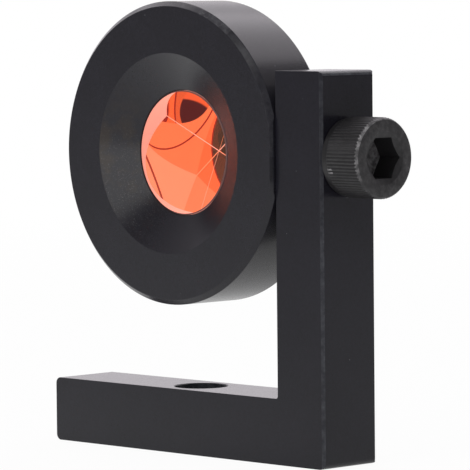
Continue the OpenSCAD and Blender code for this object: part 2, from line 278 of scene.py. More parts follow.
class StageSettings(bpy.types.PropertyGroup):
    azimuth: angle("Azimuth", "Direction of the camera, from the front to the right", 45.65)
    elevation: angle("Elevation", "Height of the camera above the horizon", 3.712)
    roll: angle("Roll", "Roll of the camera", -0.537)
    distance: length("Distance", "Distance from the camera to the point that it aims at", 0.767668)
    aim: FloatVectorProperty(name="Aim", description="Point that the camera aims at", size=3,
                             default=(0.010918, -0.00055, 0.044644), precision=5, unit="LENGTH")
    lens: number("Lens", "Focal length in millimetres", 290.54, 1.0)
    sensor: number("Sensor", "Sensor width in millimetres", 36.0, 1.0)
    paper: colour("Paper", "Floor and backdrop", (1.0, 1.0, 1.0))
    shadow: share("Shadow", "How much of the object's shadow the floor shows", 0.045)
    shadow_near: length("Shadow near", "Distance from the patch up to which the shadow is full", 0.25)
    shadow_far: length("Shadow far", "Distance from the patch where the shadow has faded out", 0.7)
    fill: number("Fill", "Strength of the light from all round", 0.4)
    lamp_azimuth: angle("Lamp azimuth", "Direction of the front lamp, from the front to the right", 10)
    lamp_elevation: angle("Lamp elevation", "Height of the front lamp above the horizon", 26)
    lamp_distance: length("Lamp distance", "Distance from the prism to the front lamp", 0.55)
    lamp_width: length("Lamp width", "Width of the front lamp", 0.27)
    lamp_height: length("Lamp height", "Height of the front lamp", 0.71)
    lamp_power: number("Lamp power", "Power of the front lamp in watts", 0.8)
    tint: colour("Tint", "Tint of the light from above and of the sweep behind", (1.0, 0.95, 1.0))
    top_azimuth: angle("Top lamp azimuth", "Place of the top lamp round the prism", -140.0)
    top_elevation: angle("Top lamp elevation", "Height of the top lamp round the prism", 58.0)
    top_distance: length("Top lamp distance", "Distance of the top lamp from the prism", 0.93)
    top_width: length("Top lamp width", "Width of the top lamp", 1.5)
    top_depth: length("Top lamp depth", "Depth of the top lamp", 0.8)
    top_power: number("Top lamp power", "Power of the top lamp in watts", 4.5)
    sweep_azimuth: angle("Sweep azimuth", "Direction of the white sweep, from the front to the right", -134)
    sweep_elevation: angle("Sweep elevation", "Height of the middle of the white sweep", 5)
    patch: FloatVectorProperty(name="Patch", description="Middle of the floor's brightest patch", size=3,
                               default=(-0.14, 0.04, 0.0), precision=3, unit="LENGTH")
    patch_level: share("Patch level", "How much brighter that patch shows than the floor near it", 0.28)
    patch_inner: length("Patch inner", "Distance up to which the patch is brightest", 0.1)
    patch_outer: length("Patch outer", "Distance where the patch ends", 0.2)
    near: length("Near", "Distance from the patch up to which the floor is bright", 0.45)
    far: length("Far", "Distance from the patch beyond which the floor is dimmest", 1.3)
    near_level: share("Near level", "How bright the near floor shows in glosses and in the glass", 0.62)
    far_level: share("Far level", "How bright the far floor shows in glosses and in the glass", 0.35)


# Meshes


def new_piece(name, bm, body, materials, replaced):
    """Turns a bmesh into a piece that rides on a body and stands for CAD nodes."""
    bmesh.ops.remove_doubles(bm, verts=bm.verts, dist=MERGE_DISTANCE)
    bmesh.ops.recalc_face_normals(bm, faces=bm.faces)
    mesh = bpy.data.meshes.new(name)
    bm.to_mesh(mesh)
    bm.free()
    piece = bpy.data.objects.new(name, mesh)
    bpy.context.scene.collection.objects.link(piece)
    for made in materials:
        mesh.materials.append(made)
    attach(piece, body)
    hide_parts(*replaced)
    return piece


def settle(piece):
    """Makes a piece's modifiers part of its mesh."""
    graph = bpy.context.evaluated_depsgraph_get()
    result = bpy.data.meshes.new_from_object(piece.evaluated_get(graph))
    piece.modifiers.clear()
    old = piece.data
    piece.data = result
    bpy.data.meshes.remove(old)
    result.name = piece.name


def shade_smooth(piece):
    """Smooth faces with hard edges where they meet at an angle, large faces leading their edges."""
    mesh = piece.data
    mesh.polygons.foreach_set("use_smooth", [True] * len(mesh.polygons))
    mesh.set_sharp_from_angle(angle=SHARP_ANGLE)
    change = piece.modifiers.new("weighted", "WEIGHTED_NORMAL")
    change.keep_sharp = True
    change.weight = 100
    settle(piece)


def rounded(points, steps=4):
    """Closed outline through (u, v, radius) corners, each rounded to its radius."""
    outline = []
    count = len(points)
    for i, (u, v, radius) in enumerate(points):
        corner = Vector((u, v))
        if radius == 0:
            outline.append(corner)
            continue
        before = (Vector(points[i - 1][:2]) - corner).normalized()
        after = (Vector(points[(i + 1) % count][:2]) - corner).normalized()
        half = before.angle(after) / 2
        centre = corner + (before + after).normalized() * radius / math.sin(half)
        start = corner + before * radius / math.tan(half) - centre
        end = corner + after * radius / math.tan(half) - centre
        sweep = start.angle_signed(end)
        for step in range(steps + 1):
            outline.append(centre + Matrix.Rotation(-sweep * step / steps, 2) @ start)
    return outline


def direction(azimuth, elevation):
    """Direction at an azimuth from the front to the right and a height above the horizon."""
    return Vector((math.sin(azimuth) * math.cos(elevation), -math.cos(azimuth) * math.cos(elevation),
                   math.sin(elevation)))


def prism_place(radius, turn, depth):
    """Point round the prism's axis, with depth measured back from the housing's front face."""
    return Vector((radius * math.cos(turn), FRONT_Y + depth, AXIS_Z + radius * math.sin(turn)))


def screw_place(radius, turn, height):
    """Point round the screw's axis, with height measured out from the leg's outer face."""
    return Vector((LEG_OUTER_X + height, radius * math.cos(turn), AXIS_Z + radius * math.sin(turn)))


def skin(bm, rings, closed):
    """Joins rings of equal length by quads; a closed skin also joins the last ring to the first."""
    count = len(rings[0])
    last = len(rings) if closed else len(rings) - 1
    for i in range(last):
        ring, after = rings[i], rings[(i + 1) % len(rings)]
        for j in range(count):
            k = (j + 1) % count
            corners = []
            for vert in (ring[j], ring[k], after[k], after[j]):
                if vert not in corners:
                    corners.append(vert)
            if len(corners) > 2:
                bm.faces.new(corners)


def lathe(bm, section, place, segments, limit=None):
    """Turns a closed section of (radius, depth) points round an axis; limit may move a point."""
    rings = []
    for radius, depth in section:
        if radius < MERGE_DISTANCE:
            middle = bm.verts.new(place(0, 0, depth))
            rings.append([middle] * segments)
            continue
        ring = []
        for i in range(segments):
            turn = 2 * math.pi * i / segments
            if limit:
                ring.append(bm.verts.new(place(*limit(radius, turn, depth), depth)))
            else:
                ring.append(bm.verts.new(place(radius, turn, depth)))
        rings.append(ring)
    skin(bm, rings, closed=True)


def cut(piece, cutter):
    """Cuts the solid in a bmesh out of a piece."""
    bmesh.ops.recalc_face_normals(cutter, faces=cutter.faces)
    mesh = bpy.data.meshes.new("cutter")
    cutter.to_mesh(mesh)
    cutter.free()
    tool = bpy.data.objects.new("cutter", mesh)
    bpy.context.scene.collection.objects.link(tool)
    change = piece.modifiers.new("cut", "BOOLEAN")
    change.operation = "DIFFERENCE"
    change.solver = "EXACT"
    change.object = tool
    settle(piece)
    bpy.data.objects.remove(tool)
    bpy.data.meshes.remove(mesh)


def cut_screw_bore(piece, radius, start, end):
    """Cuts a plain bore round the screw's axis, between two heights from the leg's outer face."""
    cutter = bmesh.new()
    lathe(cutter, [(0.0, start), (radius, start), (radius, end), (0.0, end)], screw_place,
          SCREW_HOLE_SEGMENTS)
    cut(piece, cutter)


def mark(mesh, name, amount, settings):
    """Stores on each face how far something such as wear reaches it, from 0 to 1."""
    layer = mesh.attributes.new(name, "FLOAT", "FACE")
    layer.data.foreach_set("value", [amount(face, settings) for face in mesh.polygons])


def slants(part):
    """Whether a face whose normal has this part along an axis belongs to a bevel across it."""
    return SLANT_LEAST < abs(part) < SLANT_MOST


def fading(turn, middle, power):
    """1 at a turn in degrees, fading out to 0 at right angles to it."""
    return max(0.0, math.cos(math.radians(turn - middle))) ** power


# Materials


def wire(tree, made, sockets):
    """Sets each socket of a node to a constant, or links it to another node's output."""
    for name, value in sockets.items():
        if isinstance(value, bpy.types.NodeSocket):
            tree.links.new(value, made.inputs[name])
        else:
            made.inputs[name].default_value = value


def node(tree, kind, sockets=None, **settings):
    """New node with its own settings, its sockets set or linked."""
    made = tree.nodes.new(kind)
    for name, value in settings.items():
        setattr(made, name, value)
    wire(tree, made, sockets or {})
    return made


def new_material(name):
    """New material with its nodes, its shader and the place on the object that its patterns follow."""
    made = bpy.data.materials.new(name)
    made.use_nodes = True
    tree = made.node_tree
    place = node(tree, "ShaderNodeTexCoord").outputs["Object"]
    return made, tree, tree.nodes["Principled BSDF"], place


def scaled(colour, level):
    return [min(1.0, c * level) for c in colour]


def noise(tree, place, scale, detail=2.0, roughness=0.5):
    sockets = {"Vector": place, "Scale": scale, "Detail": detail, "Roughness": roughness}
    return node(tree, "ShaderNodeTexNoise", sockets).outputs["Fac"]


def ranged(tree, value, low, high, to_low=0.0, to_high=1.0):
    """Value mapped from one range to another, and kept inside it."""
    sockets = {"Value": value, "From Min": low, "From Max": high, "To Min": to_low, "To Max": to_high}
    return node(tree, "ShaderNodeMapRange", sockets).outputs["Result"]


def math_node(tree, operation, first, second):
    return node(tree, "ShaderNodeMath", {0: first, 1: second}, operation=operation).outputs[0]


def vector_node(tree, operation, first, second=(0.0, 0.0, 0.0)):
    """Number that a vector operation gives."""
    made = node(tree, "ShaderNodeVectorMath", {0: first, 1: second}, operation=operation)
    return made.outputs["Value"]


def mixed(tree, factor, first, second):
    """Colour between two colours or colour sockets."""
    made = node(tree, "ShaderNodeMix", {"Factor": factor}, data_type="RGBA")
    for name, value in (("A", first), ("B", second)):
        socket = [s for s in made.inputs if s.name == name and s.type == "RGBA"][0]
        if isinstance(value, bpy.types.NodeSocket):
            tree.links.new(value, socket)
        else:
            socket.default_value = (*value, 1.0)
    return [s for s in made.outputs if s.type == "RGBA"][0]


def bumped(tree, height, strength, distance):
    sockets = {"Height": height, "Strength": strength, "Distance": distance}
    return node(tree, "ShaderNodeBump", sockets).outputs["Normal"]


def patchy(tree, place, name, scale, low, high, least):
    """Patchy mask over the faces that carry a mark."""
    marked = node(tree, "ShaderNodeAttribute", attribute_name=name).outputs["Fac"]
    patches = ranged(tree, noise(tree, place, scale, 4.0, 0.65), low, high, least)
    return math_node(tree, "MULTIPLY", marked, patches)


def specks(tree, place, scale, size):
    """Sparse dust specks, 1 inside a speck."""
    cells = node(tree, "ShaderNodeTexVoronoi", {"Vector": place, "Scale": scale})
    near = ranged(tree, cells.outputs["Distance"], size, size * 0.4)
    chosen = ranged(tree, noise(tree, place, scale * 0.37, 0.0), 0.66, 0.7)
    return math_node(tree, "MULTIPLY", near, chosen)


def inside_glass(tree):
    """1 where a ray meets a face from its inner side."""
    return node(tree, "ShaderNodeNewGeometry").outputs["Backfacing"]


def past_fifth(tree):
    """1 for a ray that has bounced more than five times."""
    return ranged(tree, node(tree, "ShaderNodeLightPath").outputs["Ray Depth"], 5.4, 5.6)


def anodised(name, settings):
    """Blasted and black anodised aluminium, rubbed lighter along marked edges, some of them also carrying a
    painted highlight; the funnel also gets a painted warm reflection of the glass and painted glints.
    """
    made, tree, shader, place = new_material(name)
    black, roughness = settings.black, settings.roughness
    cloud = noise(tree, place, 90.0, 3.0)
    mottle = noise(tree, place, 1300.0, 3.0, 0.6)
    fine = noise(tree, place, 5200.0, 2.0, 0.6)
    tone = mixed(tree, ranged(tree, math_node(tree, "ADD", cloud, mottle), 0.75, 1.25),
                 scaled(black, 0.85), scaled(black, 1.2))
    grained = mixed(tree, ranged(tree, fine, 0.3, 0.75, 0.0, 0.35), tone, scaled(black, 2.2))
    # Painted reflection: the glass's warm light on the funnel's left side, laid into the base colour
    with_glass_reflection = mixed(tree, patchy(tree, place, "glass_reflection", 190.0, 0.47, 0.62, 0.0), grained, PAINTED_GLASS_REFLECTION)
    dusty = mixed(tree, specks(tree, place, 420.0, 0.06), with_glass_reflection, DUST)
    # Painted glints in the funnel and on the knocked rim, laid into the base colour
    with_glints = mixed(tree, patchy(tree, place, "grit", 4200.0, 0.58, 0.68, 0.0), dusty, PAINTED_GLINT)
    # The wear mask also carries a painted highlight on the bar's outer top corner
    wear_and_highlight = patchy(tree, place, "wear", 700.0, 0.4, 0.75, 0.25)
    wire(tree, shader, {
        "Base Color": mixed(tree, wear_and_highlight, with_glints, settings.worn),
        "Roughness": ranged(tree, fine, 0.25, 0.75, roughness - 0.05, roughness + 0.07),
        "Normal": bumped(tree, fine, settings.grain, 0.00003),
        "Specular IOR Level": settings.gloss,
    })
    return made


def oxide(name, settings):
    """Blackened steel, rubbed lighter on its edges and ridges, with a painted highlight on the end's bevel.
    """
    made, tree, shader, place = new_material(name)
    black, worn = settings.black, settings.worn
    cloud = noise(tree, place, 260.0, 3.0)
    fine = noise(tree, place, 3600.0, 3.0, 0.6)
    tone = mixed(tree, ranged(tree, cloud, 0.3, 0.7), scaled(black, 0.8), scaled(black, 1.5))
    spotted = mixed(tree, specks(tree, place, 700.0, 0.07), tone, worn)
    # The wear mask also carries a painted highlight on the end's bevel
    wear_and_highlight = patchy(tree, place, "wear", 900.0, 0.42, 0.62, 0.25)
    wire(tree, shader, {
        "Base Color": mixed(tree, wear_and_highlight, spotted, worn),
        "Roughness": ranged(tree, fine, 0.2, 0.8, 0.36, 0.52),
        "Normal": bumped(tree, fine, 0.35, 0.00004),
        "Specular IOR Level": 0.5,
    })
    return made


def polished_glass(name, settings):
    """Clear polished glass with a trace of unevenness in its polish.

    A corner cube sends light back only where it came from, so the glass's colour is darkened for gloss rays:
    a painted shade of the glass in the funnel's gloss.
    The late glow stands in for a ray that leaves after its sixth bounce.
    """
    made, tree, shader, place = new_material(name)
    polish = noise(tree, place, 400.0)
    glossy = node(tree, "ShaderNodeLightPath").outputs["Is Glossy Ray"]
    inside = inside_glass(tree)
    # Painted shade: gloss rays from outside see the glass with a darkened colour
    in_gloss = math_node(tree, "MULTIPLY", glossy, math_node(tree, "SUBTRACT", 1.0, inside))
    leaving = math_node(tree, "MULTIPLY", past_fifth(tree), inside)
    wire(tree, shader, {
        "Base Color": mixed(tree, in_gloss, WHITE, (settings.gloss_tint,) * 3),
        "Roughness": ranged(tree, polish, 0.3, 0.7, 0.0, 0.006),
        "Emission Color": mixed(tree, leaving, BLACK, settings.late_glow),
        "Emission Strength": 1.0,
        "Transmission Weight": 1.0,
        "IOR": settings.index,
    })
    return made


def ground_glass(name, settings):
    """Ground side of the glass, which passes on the light that enters the prism."""
    made, tree, shader, place = new_material(name)
    grit = noise(tree, place, 6000.0)
    across = node(tree, "ShaderNodeSeparateXYZ", {0: place}).outputs["X"]
    strength = settings.glow_strength
    wire(tree, shader, {
        "Base Color": mixed(tree, ranged(tree, grit, 0.3, 0.7), scaled(settings.ground, 0.94),
                            settings.ground),
        "Roughness": ranged(tree, grit, 0.3, 0.7, 0.7, 0.9),
        "Normal": bumped(tree, grit, 0.3, 0.00002),
        "Emission Color": (*settings.glow, 1.0),
        "Emission Strength": ranged(tree, across, -0.0127, -0.003, strength * 0.7, strength),
    })
    return made


def copper_mirror(name, settings, rim_rows):
    """Copper deposited on the polished rear faces, with a stand-in for a ray's sixth bounce and on."""
    made, tree, shader, place = new_material(name)
    cloud = noise(tree, place, 240.0)
    tone = mixed(tree, ranged(tree, cloud, 0.35, 0.65), scaled(settings.copper, 0.985), settings.copper)
    deep = past_fifth(tree)
    at_rim = node(tree, "ShaderNodeCombineXYZ")
    for i, (row, offset) in enumerate(rim_rows):
        across = vector_node(tree, "DOT_PRODUCT", place, row)
        tree.links.new(math_node(tree, "ADD", across, offset), at_rim.inputs[i])
    reach = vector_node(tree, "LENGTH", at_rim.outputs[0])
    barrel = settings.barrel_radius
    inside = ranged(tree, reach, barrel * 1.015, barrel * 1.035, 1.0, 0.0)
    ending = mixed(tree, inside, settings.deep_glow, settings.deep_dark)
    wire(tree, shader, {
        "Base Color": mixed(tree, deep, tone, BLACK),
        "Emission Color": mixed(tree, deep, BLACK, ending),
        "Emission Strength": 1.25,
        "Roughness": ranged(tree, cloud, 0.3, 0.7, 0.0, 0.012),
        "Metallic": 1.0,
    })
    return made


def bevel_glass(name, settings):
    """Ground front bevel, pale from outside; where it shows through the glass, a dark red line of painted
    shade with a painted glow.
    """
    made, tree, shader, place = new_material(name)
    grit = noise(tree, place, 6000.0)
    inside = inside_glass(tree)
    ground = settings.bevel_ground
    pale = mixed(tree, ranged(tree, grit, 0.3, 0.7), scaled(ground, 0.9), ground)
    wire(tree, shader, {
        # Painted shade: from inside, the bevel takes a dark colour for the shade in the gap round the
        # glass's edge
        "Base Color": mixed(tree, inside, pale, PAINTED_SHADE_THROUGH_GLASS),
        "Emission Color": mixed(tree, inside, BLACK, settings.bevel_glow),
        "Emission Strength": 1.0,
        "Roughness": ranged(tree, grit, 0.3, 0.7, 0.55, 0.75),
    })
    return made


def rubber(name):
    """Black rubber with a soft bloom."""
    made, tree, shader, place = new_material(name)
    bloom = noise(tree, place, 700.0, 3.0)
    wire(tree, shader, {
        "Base Color": mixed(tree, ranged(tree, bloom, 0.35, 0.7), RUBBER, RUBBER_BLOOM),
        "Roughness": ranged(tree, bloom, 0.3, 0.7, 0.6, 0.75),
        "Normal": bumped(tree, bloom, 0.2, 0.00003),
    })
    return made


def turned_metal(name):
    """Bare turned aluminium with fine tool lines."""
    made, tree, shader, place = new_material(name)
    fine = noise(tree, place, 4000.0)
    wire(tree, shader, {
        "Base Color": mixed(tree, fine, *TURNED_METAL),
        "Roughness": ranged(tree, fine, 0.3, 0.7, 0.28, 0.4),
        "Metallic": 1.0,
    })
    return made


# Pieces


class PRISM_OT_l_bar(bpy.types.Operator):
    """Builds the L-shaped bar with its bevelled edges and its two holes"""

    bl_idname = "prism.l_bar"
    bl_label = "L bar"

    def outline(self, settings):
        """Points round the L seen from the front: corner centre, outward signs, direction and radius.

        The inside corner's radius is negative, as its centre lies outside the metal. One point more
        parts the leg's outer edges where the heavy wear ends.
        """
        left, right, top = BAR_LOW.x, BAR_HIGH.x, BAR_HIGH.z
        base_top = settings.base_thickness
        corners = [
            (left, 0.0, -1, -1, settings.corner_radius),
            (right, 0.0, 1, -1, settings.corner_radius),
            (right, top, 1, 1, settings.corner_radius),
            (LEG_INNER_X, top, -1, 1, settings.inner_top_radius),
            (LEG_INNER_X, base_top, -1, 1, -settings.inner_radius),
            (left, base_top, -1, 1, settings.corner_radius),
        ]
        points = []
        for x, z, out_x, out_z, radius in corners:
            out = Vector((out_x, out_z))
            centre = Vector((x, z)) - out * radius
            start = math.atan2(out_z, out_x) - math.pi / 4
            for step in range(CORNER_STEPS + 1):
                share_turned = step / CORNER_STEPS if radius > 0 else 1 - step / CORNER_STEPS
                turn = start + math.pi / 2 * share_turned
                points.append((centre, out, Vector((math.cos(turn), math.sin(turn))), radius))
            if (out_x, out_z) == (1, -1):
                rightward = Vector((1.0, 0.0))
                points.append((Vector((right, settings.rub_top)), rightward, rightward, 0.0))
        return points

    def stations(self, settings):
        """Depths from the front or back face, each with the inset of a plain and of a bevelled edge."""
        soft = settings.edge_softness
        bevel = settings.edge_bevel
        deep = 3 * bevel
        plain = rounded([(deep, 0.0, 0.0), (0.0, 0.0, soft), (0.0, deep, 0.0)])[1:-1]
        bevelled = rounded([(deep, 0.0, 0.0), (bevel, 0.0, soft), (0.0, bevel, soft), (0.0, deep, 0.0)])
        bevelled = bevelled[1:-1]
        depths = sorted({round(point[1], 8) for point in (*plain, *bevelled)})

        def inset(profile, depth):
            for (high, near), (low, past) in zip(profile, profile[1:]):
                if near <= depth <= past and past > near:
                    return high + (low - high) * (depth - near) / (past - near)
            return profile[-1][0] if depth > profile[0][1] else profile[0][0]

        return [(depth, inset(plain, depth), inset(bevelled, depth)) for depth in depths]

    def execute(self, context):
        settings = context.scene.prism_bar
        half = self.stations(settings)
        stations = [(BAR_LOW.y + depth, plain, bevelled) for depth, plain, bevelled in half]
        stations += [(BAR_HIGH.y - depth, plain, bevelled) for depth, plain, bevelled in reversed(half)]
        points = self.outline(settings)
        bm = bmesh.new()
        rings = []
        for y, plain, bevelled in stations:
            ring = []
            for centre, out, away, radius in points:
                if radius < 0:
                    at = centre + away * (radius - plain)
                else:
                    at = centre + away * max(0.0, radius - plain) - out * max(0.0, plain - radius)
                ring.append(bm.verts.new((min(at.x, BAR_HIGH.x - bevelled), y, at.y)))
            rings.append(ring)
        skin(bm, rings, closed=False)
        bm.faces.new(rings[0])
        bm.faces.new(rings[-1])
        black = anodised("bar_black_anodised", settings)
        piece = new_piece("l_bar_milled", bm, "bar", [black], ["l_bar"])
        self.cut_hole(piece, settings)
        cut_screw_bore(piece, settings.screw_hole_radius, LEG_INNER_X - LEG_OUTER_X - CUT_MARGIN, CUT_MARGIN)
        shade_smooth(piece)
        mark(piece.data, "wear", self.wear, settings)
        return {"FINISHED"}

    def cut_hole(self, piece, settings):
        """Cuts the mounting hole with a bevel round both rims."""
        radius, bevel, top = settings.hole_radius, settings.hole_bevel, settings.base_thickness
        over = bevel * 2
        section = [(0.0, -over), (radius + bevel + over, -over), (radius, bevel), (radius, top - bevel),
                   (radius + bevel + over, top + over), (0.0, top + over)]
        cutter = bmesh.new()
        lathe(cutter, section, lambda r, turn, z: Vector((r * math.cos(turn), r * math.sin(turn), z)),
              BASE_HOLE_SEGMENTS)
        cut(piece, cutter)

    def wear(self, face, settings):
        """The leg's outer front edge rubs most, above all low down, the hole's wall is pale, and the outer
        top corner is light with wear and a painted highlight.
        """
        at, normal = face.center, face.normal
        if math.hypot(at.x, at.y) < settings.hole_radius and abs(normal.z) < 0.5:
            return settings.hole_wear
        if slants(normal.y) and abs(at.y) > BAR_HIGH.y - 2 * settings.edge_bevel:
            if at.x < BAR_HIGH.x - settings.edge_bevel or at.y > 0.0:
                return settings.edge_wear
            return settings.low_edge_wear if at.z < settings.rub_top else settings.high_edge_wear
        # The outer top corner's strong mark is partly wear and partly a painted highlight
        if CORNER_SLANT_LEAST < abs(normal.x) < SLANT_MOST and abs(normal.z) > CORNER_SLANT_LEAST:
            outer_top = at.z > settings.rub_top and at.x > (LEG_INNER_X + LEG_OUTER_X) / 2
            return settings.top_corner_wear_and_highlight if outer_top else settings.edge_wear
        return 0.0


class PRISM_OT_housing(bpy.types.Operator):
    """Builds the turned housing with its funnel, its flat and its rear neck"""

    bl_idname = "prism.housing"
    bl_label = "Housing"

    def execute(self, context):
        settings = context.scene.prism_housing
        outer = HOUSING_RADIUS
        neck_end = HOUSING_HIGH.y - FRONT_Y
        soft = settings.edge_softness
        lip_back = settings.funnel_depth + settings.lip
        section = rounded([
            (settings.sight_radius, settings.funnel_depth, 0.0),
            (settings.funnel_radius, 0.0, soft),
            (outer - settings.front_bevel, 0.0, soft),
            (outer - settings.front_bevel + settings.flat_bevel_width, settings.flat_bevel_width, 0.0),
            (outer, settings.front_bevel, soft),
            (outer, settings.depth - settings.flat_bevel_width, 0.0),
            (outer, settings.depth - settings.back_bevel, soft),
            (outer - settings.back_bevel, settings.depth, soft),
            (settings.neck_radius, settings.depth, 0.0),
            (settings.neck_radius, neck_end - settings.neck_bevel, 0.0),
            (settings.neck_radius - settings.neck_bevel, neck_end, 0.0),
            (settings.pocket_radius, neck_end, 0.0),
            (settings.pocket_radius, lip_back, 0.0),
            (settings.sight_radius, lip_back, 0.0),
        ])

        def limit(radius, turn, depth):
            """Keeps a point inside the flat, with a point right at each end of the flat."""
            from_edge = min(depth, settings.depth - depth)
            reach = FLAT_X - settings.flat_bevel * max(0.0, 1 - from_edge / settings.flat_bevel_width)
            if math.cos(turn) <= 0 or radius <= reach:
                return radius, turn
            end = math.acos(reach / radius)
            for side in (end, 2 * math.pi - end):
                if abs(turn - side) <= math.pi / settings.segments:
                    return radius, side
            return min(radius, reach / math.cos(turn)), turn

        bm = bmesh.new()
        lathe(bm, section, prism_place, settings.segments, limit)
        black = anodised("housing_black_anodised", settings)
        piece = new_piece("housing_turned", bm, "prism", [black], ["prism_housing"])
        flat = FLAT_X - LEG_OUTER_X
        cut_screw_bore(piece, settings.tapped_radius, flat - settings.tapped_depth, flat + CUT_MARGIN)
        shade_smooth(piece)
        mark(piece.data, "wear", self.wear, settings)
        # The next two marks hold a painted warm reflection of the glass and painted glints
        mark(piece.data, "glass_reflection", self.glass_reflection, settings)
        mark(piece.data, "grit", self.grit, settings)
        return {"FINISHED"}

    def polar(self, face):
        """A face's radius and its turn in degrees from the right to the top."""
        rise = face.center.z - AXIS_Z
        return math.hypot(face.center.x, rise), math.degrees(math.atan2(rise, face.center.x)) % 360

    def on_rim(self, face):
        return self.polar(face)[0] > HOUSING_RADIUS * RIM_SHARE and slants(face.normal.y)

    def on_knock(self, face):
        return self.on_rim(face) and face.normal.y < 0 and KNOCK_FROM < self.polar(face)[1] < KNOCK_TO

    def on_funnel(self, face):
        return self.polar(face)[0] < HOUSING_RADIUS * FUNNEL_SHARE and -SLANT_MOST < face.normal.y < -0.3

    def wear(self, face, settings):
        """The front rim's top and the back rim rub a little, and the front rim's upper right more."""
        if not self.on_rim(face) or (face.normal.y < 0 and self.polar(face)[1] > FRONT_RUB_END):
            return 0.0
        return settings.knock_wear if self.on_knock(face) else settings.rim_wear

    def glass_reflection(self, face, settings):
        """Painted warm reflection of the glass's orange light on the funnel's left side."""
        return settings.funnel_painted_light * fading(self.polar(face)[1], GLASS_REFLECTION_TURN, 4) if self.on_funnel(face) else 0.0

    def grit(self, face, settings):
        """Painted glints: bright grains on the lower left of the funnel and on the front rim's upper right.
        """
        if self.on_funnel(face):
            return settings.funnel_painted_light * fading(self.polar(face)[1], GLINT_TURN, 3)
        return 1.0 if self.on_knock(face) else 0.0


class PRISM_OT_optics(bpy.types.Operator):
    """Builds the corner-cube glass with its copper-coated rear faces"""

    bl_idname = "prism.optics"
    bl_label = "Glass and copper"

    def execute(self, context):
        settings = context.scene.prism_optics
        front = GLASS_LOW.y - FRONT_Y
        tip = GLASS_HIGH.y - FRONT_Y
        barrel = settings.barrel_radius
        sector = 2 * math.pi / 3
        steps = settings.segments // 3
        bevel = settings.front_bevel
        halves = [width / 2 for width in settings.edge_widths]
        asides = [math.asin(half / barrel) for half in halves]
        bm = bmesh.new()

        def on_face(radius, face, turn):
            """Point of a rear face, whose slope is steepest along its middle."""
            middle = settings.first_edge + sector * (face + 0.5)
            slope = math.sqrt(2) * math.cos(turn - middle)
            return bm.verts.new(prism_place(radius, turn, tip - radius * slope))

        polished, ground, coppered, ground_bevel = range(4)
        front_ring, bevel_ring, rim_ring, centres = [], [], [], []
        for face in range(3):
            start = settings.first_edge + sector * face + asides[face]
            sweep = sector - asides[face] - asides[(face + 1) % 3]
            for step in range(steps + 1):
                turn = start + sweep * step / steps
                front_ring.append(bm.verts.new(prism_place(barrel - bevel, turn, front)))
                bevel_ring.append(bm.verts.new(prism_place(barrel, turn, front + bevel)))
                rim_ring.append(on_face(barrel, face, turn))
            first, second = halves[face], halves[(face + 1) % 3]
            across = math.atan2(math.sin(sector) * first, second + math.cos(sector) * first)
            reach = first / math.sin(across)
            centres.append(on_face(reach, face, settings.first_edge + sector * face + across))
        bm.faces.new(front_ring).material_index = polished
        count = len(front_ring)
        for i in range(count):
            j = (i + 1) % count
            around = (front_ring[i], front_ring[j], bevel_ring[j], bevel_ring[i])
            bm.faces.new(around).material_index = ground_bevel
            bm.faces.new((bevel_ring[i], bevel_ring[j], rim_ring[j], rim_ring[i])).material_index = ground
        bm.faces.new(centres).material_index = ground
        for face in range(3):
            first = face * (steps + 1)
            edge = rim_ring[first:first + steps + 1]
            bm.faces.new([centres[face], *edge]).material_index = coppered
            strip = [centres[face - 1], rim_ring[first - 1], rim_ring[first], centres[face]]
            bm.faces.new(strip).material_index = ground
        sides = [polished_glass("polished_glass", settings), ground_glass("ground_glass", settings),
                 copper_mirror("copper_mirror", settings, self.rim_rows(settings, front, tip)),
                 bevel_glass("ground_bevel", settings)]
        new_piece("corner_glass", bm, "prism", sides, ["prism_glass", "copper_coating"])
        return {"FINISHED"}

    def rim_rows(self, settings, front, tip):
        """Where a deep reflection that leaves the first rear face meets the plane of the second.

        The answer is linear in the point that it leaves, so it is given as two rows and offsets.
        """
        normals = []
        for face in range(2):
            middle = settings.first_edge + 2 * math.pi / 3 * (face + 0.5)
            normals.append(Vector((math.sqrt(2) * math.cos(middle), 1.0,
                                   math.sqrt(2) * math.sin(middle))).normalized())
        apex = prism_place(0.0, 0.0, tip)
        way = Vector(settings.deep_way)
        way = way - 2 * way.dot(normals[0]) * normals[0]
        back = Vector((way.x, -way.y, way.z))

        def meets(point):
            turned = point + way * (FRONT_Y + front - point.y) / way.y
            end = turned + back * (apex - turned).dot(normals[1]) / back.dot(normals[1])
            return Vector((end.x, end.z - AXIS_Z))

        origin = meets(Vector((0.0, 0.0, 0.0)))
        steps = [meets(Vector(axis)) - origin for axis in ((1, 0, 0), (0, 1, 0), (0, 0, 1))]
        return [(Vector([step[i] for step in steps]), origin[i]) for i in range(2)]


